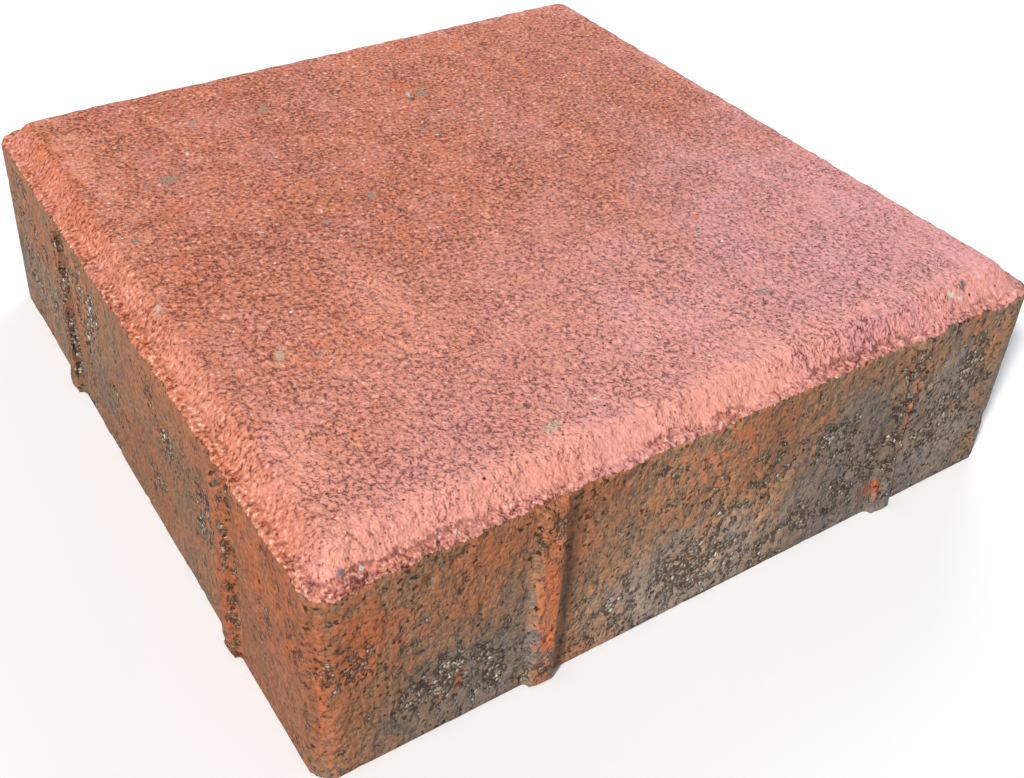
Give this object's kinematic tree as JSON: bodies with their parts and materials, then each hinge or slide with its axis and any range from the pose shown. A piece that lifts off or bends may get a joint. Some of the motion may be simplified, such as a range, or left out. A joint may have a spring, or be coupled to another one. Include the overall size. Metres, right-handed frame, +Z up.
{
  "type": "concrete paving stone",
  "caption": "Square red pressed-concrete paving stone with rounded upright corners, a bevelled wearing face and narrow spacer ribs down its sides.",
  "frame": {"origin": "middle of the bedding face, which lies on z = 0", "axes": "+Z up, out of the wearing face; X and Y along the sides of the square, which are alike, so the -Y and -X sides are called the seen ones"},
  "size_m": [0.204, 0.204, 0.06],
  "materials": {
    "red_concrete": "pressed face of fine sand and red pigment, matt and granular, with brown-grey open-textured sides"
  },
  "bodies": {
    "root": {"paving_stone": "red_concrete"}
  },
  "joints": []
}
